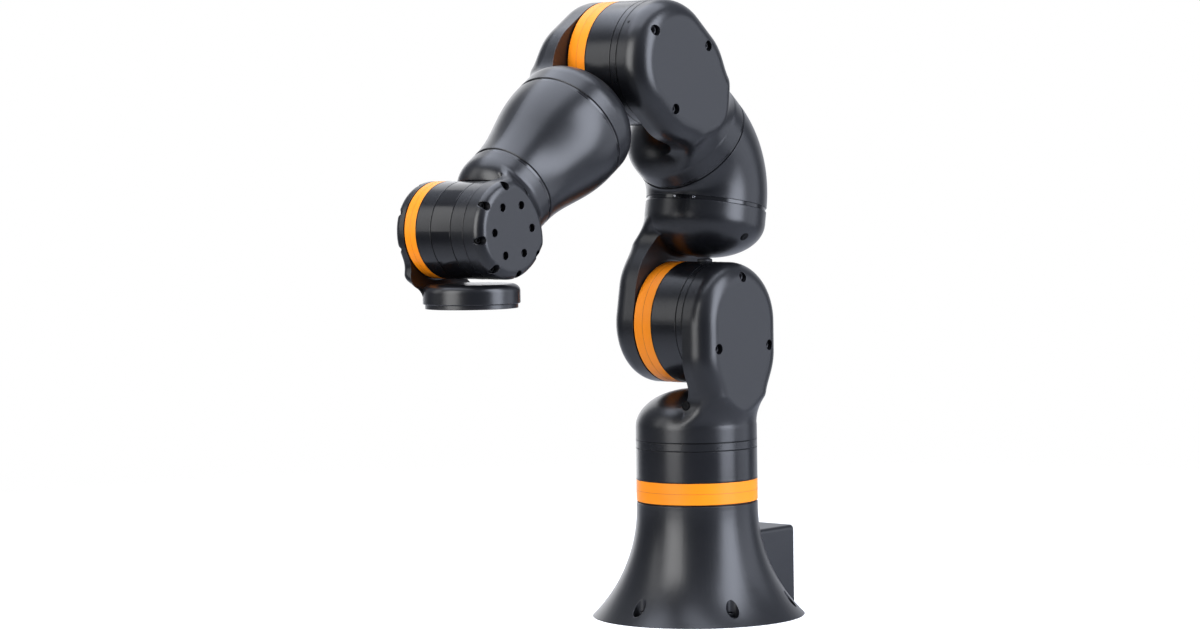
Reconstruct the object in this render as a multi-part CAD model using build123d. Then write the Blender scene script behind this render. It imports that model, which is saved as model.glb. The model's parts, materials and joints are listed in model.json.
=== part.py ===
from build123d import *
import math
import os

# A small four-joint collaborative robot arm, in millimetres.
#
# The frame: +Z is up, +X is the way the arm reaches, and every pitch joint
# turns about an axis along +Y. The origin is on the base axis, on the face
# that stands on the table. The arm is drawn in its resting pose, with the
# upper arm leaning forward, the forearm folded down and the tool face level.
#
# Four drive modules carry it. Each has an output flange that turns inside a
# coloured bearing ring, a housing with the gear set, the motor and the control
# board, and a rear flange. The links between them are cast elbows: each is
# half of a fork, a round collar that runs into a side plate, so that the drive
# sits in the corner between the collar and the plate.

# Joint spacing and the resting pose
UPPER_ARM_LENGTH = 237.0
FOREARM_LENGTH = 243.0
UPPER_ARM_BEND = 60.0
SHOULDER_LEAN = 20.0
ELBOW_FOLD = 103.7
WRIST_FOLD = 56.3

# Base bell
BASE_RADIUS = 92.0
BASE_HEIGHT = 98.8
BASE_LIP = 3.8
BASE_WALL = 6.0
BASE_TOP_WALL = 9.0
BASE_CABLE_BORE = 13.0
FOOT_THICKNESS = 10.0
FOOT_WIDTH = 22.0
BASE_PLATE_THICKNESS = 4.0
BASE_BOLT_COUNT = 6
BASE_BOLT_INSET = 12.0
BASE_BOLT_HOLE = 6.6
BASE_BOLT_HEAD_HOLE = 11.0
BASE_BOLT_SEAT = 6.0

# Connector box on the back of the base
BOX_WIDTH = 56.0
BOX_OVERHANG = 8.0
BOX_BOTTOM = 2.5
BOX_TOP = 70.0
BOX_ROUND = 4.0
BOX_WALL = 4.0
PANEL_THICKNESS = 3.0
PANEL_INSET = 1.0
SOCKET_RADIUS = 8.0
SOCKET_BORE = 5.5
SOCKET_DEPTH = 16.0
SOCKET_BACK = 5.0
SOCKET_LIP = 2.0
SOCKET_SPACING = 22.0
SOCKET_HEIGHT = 47.0
POWER_SOCKET_WIDTH = 27.0
POWER_SOCKET_HEIGHT = 20.0
POWER_SOCKET_CENTRE = 22.0
POWER_POCKET_DEPTH = 9.0
POWER_POCKET_WALL = 3.0

# Large drive module, three of these
DRIVE_RADIUS = 52.5
DRIVE_GAP = 1.2
RING_WIDTH = 19.0
HOUSING_WIDTH = 27.0
REAR_FLANGE_WIDTH = 7.0
DRIVE_SIDE = 28.0
HUB_RADIUS = 40.0
HOUSING_BORE = 44.0
OUTPUT_DISC_RADIUS = 50.0
GEAR_WIDTH = 10.0
MOTOR_WIDTH = 12.0
CABLE_BORE = 9.0

# Small drive module at the wrist
WRIST_DRIVE_RADIUS = 39.2
WRIST_DRIVE_GAP = 1.0
WRIST_RING_WIDTH = 12.7
WRIST_HOUSING_WIDTH = 16.1
WRIST_MOTOR_CAN_WIDTH = 21.3
WRIST_REAR_FLANGE_WIDTH = 13.9
WRIST_DRIVE_SIDE = 28.2
WRIST_HUB_RADIUS = 29.0
WRIST_HOUSING_BORE = 33.0
WRIST_OUTPUT_DISC_RADIUS = 37.0
WRIST_GEAR_WIDTH = 9.0
WRIST_MOTOR_WIDTH = 17.0
WRIST_CABLE_BORE = 7.0

# What every drive module shares
RUNNING_CLEARANCE = 0.05
HUB_LENGTH = 11.0
GEAR_NOSE_GAP = 0.4
BOARD_THICKNESS = 1.6
BOARD_MARGIN = 3.0
SEAM_CHAMFER = 0.5

# Large elbows
ELBOW_HEIGHT = 101.0
ELBOW_SIDE = 54.5
OUTPUT_SIDE = 54.5
ELBOW_RIM_ROUND = 18.0
DOME_START = 90.0
DOME_TOP = 57.0
PLATE_STRAIGHT = 25.0
NECK_HALF_WIDTH = 40.0
NECK_DROP = 67.0
SHOULDER_START = 38.0
SHOULDER_MIDDLE = 62.3
SHOULDER_END = 88.0
SHOULDER_BULGE = 7.1
SHOULDER_ROUND = 12.0
CREASE_RADIUS = 36.0
CREASE_DROP = 8.0
CREASE_ROUND = 5.0
ELBOW_CLEARANCE = 1.7
NECK_INSET = 0.3
ELBOW_PLATE_END = 94.0
WEB_LAP = 3.0
ENVELOPE_SPARE = 5.0
VAULT_RISE = 1.0
LINK_WALL = 4.5
CAP_BOLT_COUNT = 3
CAP_BOLT_CIRCLE = 80.0
CAP_BOLT_HOLE = 5.5
CAP_BOLT_HEAD_HOLE = 9.0
CAP_BOLT_SEAT = 9.0
CABLE_POCKET_RADIUS = 30.0
CABLE_CHANNEL_WIDTH = 34.0
CHANNEL_COVER = 3.0

# Clamped seams between the links
SEAM_RING_WIDTH = 3.4
SEAM_RING_INSET = 0.9

# Forearm taper and the wrist elbow
FOREARM_END = 184.5
WRIST_COLLAR_RADIUS = 39.6
WRIST_DOME_START = 46.0
WRIST_DOME_TOP = 26.0
WRIST_CROWN_FLAT = 24.0
WRIST_PLATE_STRAIGHT = 2.0
WRIST_NECK_HALF_WIDTH = 31.0
WRIST_NECK_DROP = 33.0
WRIST_SHOULDER_START = 4.0
WRIST_SHOULDER_MIDDLE = 30.0
WRIST_SHOULDER_END = 45.0
WRIST_SHOULDER_BULGE = 2.0
WRIST_SHOULDER_ROUND = 6.0
WRIST_PLATE_END = 49.0
WRIST_CREASE_RADIUS = 12.0
WRIST_CREASE_DROP = 8.0
WRIST_CREASE_ROUND = 3.0
WRIST_CLEARANCE = 1.3
WRIST_SIDE = 46.5
WRIST_OUTPUT_SIDE = 48.5
WRIST_RIM_ROUND = 8.0
WRIST_CAP_BOLT_COUNT = 6
WRIST_CAP_BOLT_CIRCLE = 44.0
WRIST_CAP_BOLT_HOLE = 6.8
WRIST_CAP_BOLT_DEPTH = 7.0
WRIST_RIM_BOLT_COUNT = 8
WRIST_RIM_BOLT_CIRCLE = 72.0
WRIST_RIM_BOLT_HOLE = 7.0
WRIST_RIM_BOLT_SEAT = 8.0
WRIST_LINK_WALL = 3.0
WRIST_CABLE_POCKET_RADIUS = 17.0
WRIST_CABLE_CHANNEL_WIDTH = 20.0

# Tool end
TOOL_REACH = 62.4
TOOL_HEAD_RADIUS = 39.2
TOOL_HEAD_START = 49.0
TOOL_HEAD_TOP = 43.0
TOOL_HEAD_FLAT = 32.0
TOOL_NECK_HALF_WIDTH = 31.0
TOOL_NECK_DROP = 30.0
TOOL_SHOULDER_START = 8.0
TOOL_SHOULDER_MIDDLE = 40.5
TOOL_SHOULDER_END = 56.0
TOOL_SHOULDER_BULGE = 3.0
TOOL_PLATE_END = 57.0
TOOL_CREASE_DROP = 3.0
TOOL_FLANGE_THICKNESS = 3.6
TOOL_FLANGE_RADIUS = 37.4
TOOL_BOLT_COUNT = 4
TOOL_BOLT_CIRCLE = 50.0
TOOL_BOLT_HOLE = 5.0
TOOL_BOLT_DEPTH = 7.0
TOOL_PLUG_THICKNESS = 9.0
TOOL_CENTRE_RADIUS = 15.75
TOOL_CENTRE_DEPTH = 6.0

# Where things come to
base_neck = BASE_HEIGHT - BASE_LIP
base_spread = BASE_RADIUS - DRIVE_RADIUS
base_flare = (base_spread**2 + base_neck**2) / (2 * base_spread)
foot_opening = BASE_RADIUS - FOOT_WIDTH
base_bolt_circle = 2 * (BASE_RADIUS - BASE_BOLT_INSET)
box_reach = BASE_RADIUS + BOX_OVERHANG
forearm_angle = SHOULDER_LEAN + ELBOW_FOLD
tool_angle = forearm_angle + WRIST_FOLD
drive_length = DRIVE_GAP + RING_WIDTH + HOUSING_WIDTH + REAR_FLANGE_WIDTH
wrist_drive_length = (
    WRIST_DRIVE_GAP + WRIST_RING_WIDTH + WRIST_HOUSING_WIDTH
    + WRIST_MOTOR_CAN_WIDTH + WRIST_REAR_FLANGE_WIDTH
)
shoulder_z = BASE_HEIGHT + drive_length + ELBOW_HEIGHT
seam_outer = ELBOW_HEIGHT + SEAM_RING_WIDTH
wrist_elbow_height = FOREARM_LENGTH - FOREARM_END - SEAM_RING_WIDTH
tool_head_height = TOOL_REACH - TOOL_FLANGE_THICKNESS


def heading(angle):
    """The direction that leans forward from upright by this many degrees."""
    turn = math.radians(angle)
    return Vector(math.sin(turn), 0, math.cos(turn))


shoulder = Vector(0, 0, shoulder_z)
elbow = shoulder + heading(SHOULDER_LEAN) * UPPER_ARM_LENGTH
wrist = elbow + heading(forearm_angle) * FOREARM_LENGTH


def along(point, angle):
    """A place at a point, with its own -Z pointing along the heading."""
    return Location(point, (0, angle + 180, 0))


def on_circle(count, diameter, start=0.0):
    """Evenly spaced points on a circle, the first at the start angle."""
    points = []
    for index in range(count):
        turn = math.radians(start + 360.0 * index / count)
        points.append((diameter / 2 * math.cos(turn), diameter / 2 * math.sin(turn)))
    return points


def turned(points):
    """A solid of revolution about Z from radius and height pairs."""
    outline = Polyline(*[(r, 0, z) for r, z in points], close=True)
    return revolve(make_face(outline), Axis.Z)


def spun(outline):
    """A solid of revolution about Z, with the join of its skin on the -Y side."""
    return Rot(0, 0, -90) * revolve(Plane.XZ * make_face(outline), Axis.Z)


def rod(radius, low, high, x=0.0, y=0.0):
    """A cylinder along Z from one height to another."""
    return Pos(x, y, (low + high) / 2) * Cylinder(radius, high - low)


def side_rod(radius, low, high, x=0.0, z=0.0):
    """A cylinder along Y from one side to the other."""
    return Pos(x, (low + high) / 2, z) * Rot(90, 0, 0) * Cylinder(radius, high - low)


def tube(outer, inner, low, high, chamfer_size=0.0):
    """A ring about Z, with its outer edges chamfered where asked."""
    c = chamfer_size
    if c > 0:
        return turned([
            (inner, low), (outer - c, low), (outer, low + c),
            (outer, high - c), (outer - c, high), (inner, high),
        ])
    return turned([(inner, low), (outer, low), (outer, high), (inner, high)])


def drive_module(size):
    """The pieces of one drive, along +Z from the seat of its output flange."""
    radius = size["radius"]
    gap = size["gap"]
    hub = size["hub"]
    bore = size["bore"]
    cable = size["cable"]
    ring_end = gap + size["ring"]
    housing_end = ring_end + size["housing"]
    can_end = housing_end + size["can"]
    drive_end = can_end + size["rear"]
    gear_start = gap + HUB_LENGTH + GEAR_NOSE_GAP
    gear_end = ring_end + size["gear"]
    motor_end = gear_end + size["motor"]
    board_end = motor_end + BOARD_THICKNESS

    pieces = {}
    pieces["output_flange"] = turned([
        (cable, 0), (size["disc"], 0), (size["disc"], gap / 2), (hub, gap / 2),
        (hub, gap + HUB_LENGTH), (cable, gap + HUB_LENGTH),
    ])
    pieces["bearing_ring"] = tube(radius, hub + RUNNING_CLEARANCE, gap, ring_end, SEAM_CHAMFER)
    pieces["housing"] = tube(radius, bore, ring_end, housing_end, SEAM_CHAMFER)
    if size["can"] > 0:
        pieces["motor_can"] = tube(radius, bore, housing_end, can_end, SEAM_CHAMFER)
    pieces["rear_flange"] = tube(radius, cable + 3, can_end, drive_end, SEAM_CHAMFER)
    nose = hub - 8
    pieces["gear_set"] = turned([
        (cable, gear_start), (nose, gear_start), (nose, ring_end),
        (bore, ring_end), (bore, gear_end), (cable, gear_end),
    ])
    pieces["motor"] = tube(bore, cable, gear_end, motor_end)
    pieces["control_board"] = tube(bore - BOARD_MARGIN, cable + 3, motor_end, board_end)
    return pieces


large_drive = {
    "radius": DRIVE_RADIUS, "gap": DRIVE_GAP, "ring": RING_WIDTH,
    "housing": HOUSING_WIDTH, "can": 0.0, "rear": REAR_FLANGE_WIDTH,
    "hub": HUB_RADIUS, "bore": HOUSING_BORE, "disc": OUTPUT_DISC_RADIUS,
    "gear": GEAR_WIDTH, "motor": MOTOR_WIDTH, "cable": CABLE_BORE,
}
small_drive = {
    "radius": WRIST_DRIVE_RADIUS, "gap": WRIST_DRIVE_GAP, "ring": WRIST_RING_WIDTH,
    "housing": WRIST_HOUSING_WIDTH, "can": WRIST_MOTOR_CAN_WIDTH,
    "rear": WRIST_REAR_FLANGE_WIDTH, "hub": WRIST_HUB_RADIUS,
    "bore": WRIST_HOUSING_BORE, "disc": WRIST_OUTPUT_DISC_RADIUS,
    "gear": WRIST_GEAR_WIDTH, "motor": WRIST_MOTOR_WIDTH, "cable": WRIST_CABLE_BORE,
}


def keyhole(size, base):
    """The outline of a side plate: round over the drive, slim at the neck."""
    radius = size["radius"]
    neck = size["neck"]
    slim = size["collar"] - NECK_INSET
    start = -size["straight"]
    narrow = -size["neck_drop"]
    up, down = (0, 1), (0, -1)
    return Wire([
        CenterArc((0, 0), radius, 180, -180),
        Line((radius, 0), (radius, start)),
        Spline((radius, start), (neck, narrow), tangents=[down, down], tangent_scalars=[1.4, 0.8]),
        Spline((neck, narrow), (slim, -base), tangents=[down, down]),
        Line((slim, -base), (-slim, -base)),
        Spline((-slim, -base), (-neck, narrow), tangents=[up, up]),
        Spline((-neck, narrow), (-radius, start), tangents=[up, up], tangent_scalars=[0.8, 1.4]),
        Line((-radius, start), (-radius, 0)),
    ])


def faces_beside(body, edge):
    """The faces of a body that meet in an edge."""
    return [face for face in body.faces() if any(edge.is_same(other) for other in face.edges())]


def side_plate(size, base):
    """The plate and the slope that carries it into the collar, before the dome."""
    inner_side = size["drive_side"]
    crease = size["crease"]
    outline = make_face(keyhole(size, base))

    # the plate, with the rim of its outer face rounded
    width = size["side"] - inner_side
    blank = extrude(Plane.XZ.offset(-inner_side) * outline, amount=-width)
    outer = blank.faces().sort_by(Axis.Y)[-1]
    plate = fillet(outer.edges().filter_by(lambda e: e.center().Z > 0.01 - base), size["rim_round"])

    # the slope, with the same outline seen from the side
    crease_top = size["dome_start"] - crease - size["crease_drop"]
    crease_side = inner_side - crease
    slope_outline = Wire([
        CenterArc((crease_side, -crease_top), crease, 0, -90),
        Line((crease_side, -crease_top - crease), (crease_side, -base)),
        Line((crease_side, -base), (inner_side + WEB_LAP, -base)),
        Line((inner_side + WEB_LAP, -base), (inner_side + WEB_LAP, -crease_top)),
        Line((inner_side + WEB_LAP, -crease_top), (inner_side, -crease_top)),
    ])
    slope = extrude(Plane.YZ * make_face(slope_outline), amount=size["radius"], both=True)
    body = plate + (slope & extrude(Plane.XZ * outline, amount=2 * size["side"], both=True))

    # a turned envelope rounds the plate down to the collar
    wide = math.hypot(size["radius"], size["side"]) + ENVELOPE_SPARE
    slim = size["collar"] - NECK_INSET
    high = size["side"] * 2
    shoulder_reach = size["side"] + size["shoulder_bulge"]
    neck_line = Spline(
        (wide, -size["waist_start"]), (shoulder_reach, -size["waist_middle"]),
        (slim, -size["waist_end"]), tangents=[(-0.6, -1), (0, -1)],
    )
    body = body & spun(Wire([
        Line((0, high), (wide, high)), Line((wide, high), (wide, -size["waist_start"])), neck_line,
        Line((slim, -size["waist_end"]), (slim, -base)), Line((slim, -base), (0, -base)),
        Line((0, -base), (0, high)),
    ]))

    # the rounding's own edges are softened
    soft = []
    for edge in body.edges():
        place = edge.center()
        if place.Y < inner_side + WEB_LAP or place.Z < 1 - size["waist_end"]:
            continue
        kinds = [face.geom_type for face in faces_beside(body, edge)]
        if len(kinds) == 2 and kinds.count(GeomType.REVOLUTION) == 1:
            soft.append(edge)
    return fillet(soft, size["shoulder_round"])


def elbow_casting(size):
    """A collar, a rounded dome and a side plate around a drive module.

    The joint axis is Y through the origin, the plate is on the +Y side and the
    collar points along -Z, with its seam at the elbow's height.
    """
    radius = size["radius"]
    collar = size["collar"]
    height = size["height"]
    low = size["dome_start"]
    top = size["dome_top"]
    side = size["side"]
    inner_side = size["drive_side"]
    flat = size["flat"]
    wall = size["wall"]
    body = side_plate(size, size["plate_end"])

    # the collar and the dome under the drive
    c = size["seam_chamfer"]
    crown = [Line((flat, -top), (0, -top))] if flat > 0 else []
    dome_outline = Wire([
        Line((0, -height), (collar - c, -height)),
        Line((collar - c, -height), (collar, c - height)),
        Line((collar, c - height), (collar, -low)),
        EllipticalCenterArc((flat, -low), collar - flat, low - top, start_angle=0, arc_size=90),
        Line((0, -top), (0, -height)),
    ] + crown)
    body = body + spun(dome_outline)

    # the slope runs into a dome with a soft hollow, and straight into the tool head
    creases = []
    for edge in body.edges():
        place = edge.center()
        if place.Y < 0 or place.Y > inner_side or place.Z < 1 - low or place.Z > 0.01 - top:
            continue
        kinds = [face.geom_type for face in faces_beside(body, edge)]
        if kinds.count(GeomType.CYLINDER) + kinds.count(GeomType.EXTRUSION) == 1:
            creases.append(edge)
    if size["crease_round"] > 0:
        body = fillet(creases, size["crease_round"])

    # room for the drive to turn in
    body = body - side_rod(radius + size["clearance"], -2 * side, inner_side)

    # the hollow collar, with a vaulted roof under a dome and a flat one under a crown
    roof = max(top, radius + size["clearance"]) + wall
    hollow = collar - wall
    spring = max(low + wall / 2, roof + VAULT_RISE)
    if flat > 0:
        body = body - rod(hollow, -height - 1, -roof)
    else:
        body = body - spun(Wire([
            Line((0, -height - 1), (hollow, -height - 1)),
            Line((hollow, -height - 1), (hollow, -spring)),
            EllipticalCenterArc((0, -spring), hollow, spring - roof, start_angle=0, arc_size=90),
            Line((0, -roof), (0, -height - 1)),
        ]))

    # the cable way: a pocket behind the drive and a channel down the plate
    body = body - side_rod(size["pocket"], inner_side - 1, side - wall)
    channel = size["channel"]
    if channel > 0:
        deep = min(side, math.sqrt(hollow**2 - channel**2 / 4)) - wall
        shallow = inner_side + CHANNEL_COVER
        body = body - Pos(0, (shallow + deep) / 2, -spring / 2) * Box(
            channel, deep - shallow, spring
        )
    return body


def cap_bolt_holes(size, count, circle, hole, head, seat, start):
    """Through holes with sunk heads that bolt a plate to its drive."""
    holes = []
    for x, z in on_circle(count, circle, start):
        if hole > 0:
            holes.append(side_rod(hole / 2, size["drive_side"] - 1, size["side"] + 1, x, z))
        holes.append(side_rod(head / 2, size["side"] - seat, size["side"] + 1, x, z))
    return holes


large_elbow = {
    "radius": DRIVE_RADIUS, "collar": DRIVE_RADIUS, "height": ELBOW_HEIGHT,
    "dome_start": DOME_START, "dome_top": DOME_TOP, "side": ELBOW_SIDE,
    "drive_side": DRIVE_SIDE, "rim_round": ELBOW_RIM_ROUND, "wall": LINK_WALL,
    "straight": PLATE_STRAIGHT, "neck": NECK_HALF_WIDTH, "neck_drop": NECK_DROP,
    "plate_end": ELBOW_PLATE_END, "waist_start": SHOULDER_START,
    "waist_middle": SHOULDER_MIDDLE, "waist_end": SHOULDER_END,
    "shoulder_bulge": SHOULDER_BULGE, "shoulder_round": SHOULDER_ROUND,
    "crease": CREASE_RADIUS, "crease_drop": CREASE_DROP, "crease_round": CREASE_ROUND,
    "clearance": ELBOW_CLEARANCE, "seam_chamfer": SEAM_CHAMFER, "flat": 0.0,
    "pocket": CABLE_POCKET_RADIUS, "channel": CABLE_CHANNEL_WIDTH,
}
output_elbow = dict(large_elbow)
output_elbow["side"] = OUTPUT_SIDE
output_elbow["drive_side"] = drive_length - DRIVE_SIDE
wrist_elbow_size = {
    "radius": WRIST_DRIVE_RADIUS, "collar": WRIST_COLLAR_RADIUS,
    "height": wrist_elbow_height, "dome_start": WRIST_DOME_START,
    "dome_top": WRIST_DOME_TOP, "side": WRIST_SIDE, "drive_side": WRIST_DRIVE_SIDE,
    "rim_round": WRIST_RIM_ROUND, "wall": WRIST_LINK_WALL,
    "straight": WRIST_PLATE_STRAIGHT, "neck": WRIST_NECK_HALF_WIDTH, "neck_drop": WRIST_NECK_DROP,
    "plate_end": WRIST_PLATE_END, "waist_start": WRIST_SHOULDER_START,
    "waist_middle": WRIST_SHOULDER_MIDDLE, "waist_end": WRIST_SHOULDER_END,
    "shoulder_bulge": WRIST_SHOULDER_BULGE, "shoulder_round": WRIST_SHOULDER_ROUND,
    "crease": WRIST_CREASE_RADIUS, "crease_drop": WRIST_CREASE_DROP,
    "crease_round": WRIST_CREASE_ROUND,
    "clearance": WRIST_CLEARANCE, "seam_chamfer": SEAM_CHAMFER, "flat": WRIST_CROWN_FLAT,
    "pocket": WRIST_CABLE_POCKET_RADIUS, "channel": WRIST_CABLE_CHANNEL_WIDTH,
}
bracket_size = dict(wrist_elbow_size)
bracket_size["collar"] = TOOL_HEAD_RADIUS
bracket_size["height"] = tool_head_height
bracket_size["dome_start"] = TOOL_HEAD_START
bracket_size["dome_top"] = TOOL_HEAD_TOP
bracket_size["side"] = WRIST_OUTPUT_SIDE
bracket_size["drive_side"] = wrist_drive_length - WRIST_DRIVE_SIDE
bracket_size["neck"] = TOOL_NECK_HALF_WIDTH
bracket_size["neck_drop"] = TOOL_NECK_DROP
bracket_size["plate_end"] = TOOL_PLATE_END
bracket_size["waist_start"] = TOOL_SHOULDER_START
bracket_size["waist_middle"] = TOOL_SHOULDER_MIDDLE
bracket_size["waist_end"] = TOOL_SHOULDER_END
bracket_size["shoulder_bulge"] = TOOL_SHOULDER_BULGE
bracket_size["crease_drop"] = TOOL_CREASE_DROP
bracket_size["crease_round"] = 0.0
bracket_size["channel"] = 0.0
bracket_size["flat"] = TOOL_HEAD_FLAT


def large_casting(size):
    """A large elbow with its three sunk cap bolts."""
    body = elbow_casting(size)
    for hole in cap_bolt_holes(
        size, CAP_BOLT_COUNT, CAP_BOLT_CIRCLE, CAP_BOLT_HOLE,
        CAP_BOLT_HEAD_HOLE, CAP_BOLT_SEAT, 90.0,
    ):
        body = body - hole
    return body


def small_casting(size):
    """A wrist elbow with its ring of cap bolts and its rim bolt pockets."""
    body = elbow_casting(size)
    for hole in cap_bolt_holes(
        size, WRIST_CAP_BOLT_COUNT, WRIST_CAP_BOLT_CIRCLE, 0.0,
        WRIST_CAP_BOLT_HOLE, WRIST_CAP_BOLT_DEPTH, 0.0,
    ):
        body = body - hole
    for hole in cap_bolt_holes(
        size, WRIST_RIM_BOLT_COUNT, WRIST_RIM_BOLT_CIRCLE, 0.0,
        WRIST_RIM_BOLT_HOLE, WRIST_RIM_BOLT_SEAT, 22.5,
    ):
        body = body - hole
    return body


def flare_radius(height, inset=0.0):
    """The radius of the base bell's hollow flare at a height."""
    rise = base_neck - height
    reach = base_flare + inset
    return DRIVE_RADIUS + base_flare - math.sqrt(reach**2 - rise**2)


def base_bell():
    """The flared base: a turned shell with a foot and a top web."""
    centre = DRIVE_RADIUS + base_flare
    outer = ThreePointArc(
        (flare_radius(0), 0), (flare_radius(base_neck / 2), base_neck / 2),
        (DRIVE_RADIUS, base_neck),
    )
    inner_top = BASE_HEIGHT - BASE_TOP_WALL
    inner_low = FOOT_THICKNESS
    inner_mid = (inner_top + inner_low) / 2
    inner = ThreePointArc(
        (flare_radius(inner_top, BASE_WALL), inner_top),
        (flare_radius(inner_mid, BASE_WALL), inner_mid),
        (flare_radius(inner_low, BASE_WALL), inner_low),
    )
    c = SEAM_CHAMFER
    outline = Wire([
        outer,
        Line((DRIVE_RADIUS, base_neck), (DRIVE_RADIUS, BASE_HEIGHT - c)),
        Line((DRIVE_RADIUS, BASE_HEIGHT - c), (DRIVE_RADIUS - c, BASE_HEIGHT)),
        Line((DRIVE_RADIUS - c, BASE_HEIGHT), (BASE_CABLE_BORE, BASE_HEIGHT)),
        Line((BASE_CABLE_BORE, BASE_HEIGHT), (BASE_CABLE_BORE, inner_top)),
        Line((BASE_CABLE_BORE, inner_top), (flare_radius(inner_top, BASE_WALL), inner_top)),
        inner,
        Line((flare_radius(inner_low, BASE_WALL), inner_low), (foot_opening, inner_low)),
        Line((foot_opening, inner_low), (foot_opening, 0)),
        Line((foot_opening, 0), (flare_radius(0), 0)),
    ])
    bell = revolve(Plane.XZ * make_face(outline), Axis.Z)
    for x, y in on_circle(BASE_BOLT_COUNT, base_bolt_circle):
        bell = bell - rod(BASE_BOLT_HOLE / 2, -1, BASE_BOLT_SEAT + 1, x, y)
        bell = bell - rod(BASE_BOLT_HEAD_HOLE / 2, BASE_BOLT_SEAT, BASE_HEIGHT / 2, x, y)
    return bell


def flare_core():
    """A solid plug of the base's outer form, to cut what seats on it."""
    outer = ThreePointArc(
        (flare_radius(0), 0), (flare_radius(base_neck / 2), base_neck / 2),
        (DRIVE_RADIUS, base_neck),
    )
    outline = Wire([
        outer,
        Line((DRIVE_RADIUS, base_neck), (0, base_neck)),
        Line((0, base_neck), (0, 0)),
        Line((0, 0), (flare_radius(0), 0)),
    ])
    return revolve(Plane.XZ * make_face(outline), Axis.Z)


def connector_box():
    """The box behind the base, hollow and open at its rear."""
    start = DRIVE_RADIUS
    height = BOX_TOP - BOX_BOTTOM
    middle = (BOX_TOP + BOX_BOTTOM) / 2
    shell = Pos(-(box_reach + start) / 2, 0, middle) * Box(box_reach - start, BOX_WIDTH, height)
    shell = fillet(shell.edges().filter_by(Axis.X).group_by(Axis.Z)[-1], BOX_ROUND)
    shell = shell - flare_core()
    inside = Pos(-(box_reach + start) / 2, 0, middle) * Box(
        box_reach - start + 2, BOX_WIDTH - 2 * BOX_WALL, height - 2 * BOX_WALL
    )
    shell = shell - inside
    return shell


def connector_panel():
    """The plate that closes the box, with openings for the sockets."""
    height = BOX_TOP - BOX_BOTTOM - 2 * BOX_WALL
    middle = (BOX_TOP + BOX_BOTTOM) / 2
    x = PANEL_THICKNESS / 2 + PANEL_INSET - box_reach
    panel = Pos(x, 0, middle) * Box(PANEL_THICKNESS, BOX_WIDTH - 2 * BOX_WALL, height)
    for side in (-1, 1):
        hole = Rot(0, 90, 0) * Cylinder(SOCKET_RADIUS - SOCKET_LIP, 4 * PANEL_THICKNESS)
        panel = panel - Pos(x, side * SOCKET_SPACING / 2, SOCKET_HEIGHT) * hole
    panel = panel - Pos(x, 0, POWER_SOCKET_CENTRE) * Box(
        4 * PANEL_THICKNESS, POWER_SOCKET_WIDTH, POWER_SOCKET_HEIGHT
    )
    return panel


def round_socket(side):
    """A round signal socket: a flange on the panel and a hollow body behind."""
    outer_face = PANEL_INSET - box_reach
    flange_start = -SOCKET_LIP
    profile = [
        (SOCKET_BORE, flange_start), (SOCKET_RADIUS, flange_start), (SOCKET_RADIUS, 0),
        (SOCKET_RADIUS - SOCKET_LIP, 0), (SOCKET_RADIUS - SOCKET_LIP, SOCKET_DEPTH),
        (0, SOCKET_DEPTH), (0, SOCKET_DEPTH - SOCKET_BACK), (SOCKET_BORE, SOCKET_DEPTH - SOCKET_BACK),
    ]
    return Pos(outer_face, side * SOCKET_SPACING / 2, SOCKET_HEIGHT) * Rot(0, 90, 0) * turned(profile)


def power_socket():
    """A rectangular power inlet with a shrouded pocket."""
    outer_face = PANEL_INSET - box_reach
    depth = PANEL_THICKNESS + POWER_POCKET_DEPTH
    body = Pos(outer_face + depth / 2, 0, POWER_SOCKET_CENTRE) * Box(
        depth, POWER_SOCKET_WIDTH, POWER_SOCKET_HEIGHT
    )
    pocket = Pos(outer_face + POWER_POCKET_DEPTH / 2 - 0.5, 0, POWER_SOCKET_CENTRE) * Box(
        POWER_POCKET_DEPTH + 1, POWER_SOCKET_WIDTH - 2 * POWER_POCKET_WALL,
        POWER_SOCKET_HEIGHT - 2 * POWER_POCKET_WALL,
    )
    return body - pocket


def seam_ring(radius, wall):
    """The spacer ring between two clamped links, set in a little from both."""
    return tube(radius - SEAM_RING_INSET, radius - wall, 0, SEAM_RING_WIDTH)


def upper_arm_bend():
    """The bent tube of the upper arm, a ring turned through the bend angle."""
    half = UPPER_ARM_BEND / 2
    sweep_radius = UPPER_ARM_LENGTH - 2 * seam_outer * math.cos(math.radians(half))
    start_angle = SHOULDER_LEAN - half
    start = shoulder + heading(start_angle) * seam_outer
    inward = heading(start_angle + 90)
    centre = start + inward * sweep_radius
    section = Plane(origin=start, x_dir=(0, 1, 0), z_dir=heading(start_angle))
    ring = Circle(DRIVE_RADIUS) - Circle(DRIVE_RADIUS - LINK_WALL)
    return revolve(section * ring, Axis(centre, (0, 1, 0)), UPPER_ARM_BEND)


def forearm_cone():
    """The forearm tube, from the large seam down to the wrist seam."""
    start = seam_outer
    length = FOREARM_END - start
    c = SEAM_CHAMFER
    wide = DRIVE_RADIUS
    slim = WRIST_COLLAR_RADIUS
    outer = Spline(
        (wide, -start - c), (slim, c - FOREARM_END), tangents=[(0, -1), (0, -1)],
    )
    inner = Spline(
        (slim - WRIST_LINK_WALL, -FOREARM_END), (wide - LINK_WALL, -start),
        tangents=[(0, 1), (0, 1)],
    )
    outline = Wire([
        Line((wide - LINK_WALL, -start), (wide - c, -start)),
        Line((wide - c, -start), (wide, -start - c)),
        outer,
        Line((slim, c - FOREARM_END), (slim - c, -FOREARM_END)),
        Line((slim - c, -FOREARM_END), (slim - WRIST_LINK_WALL, -FOREARM_END)),
        inner,
    ])
    return revolve(Plane.XZ * make_face(outline), Axis.Z)


def wrist_bracket():
    """The wrist's output elbow, whose collar is the tool head."""
    return small_casting(bracket_size)


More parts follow.
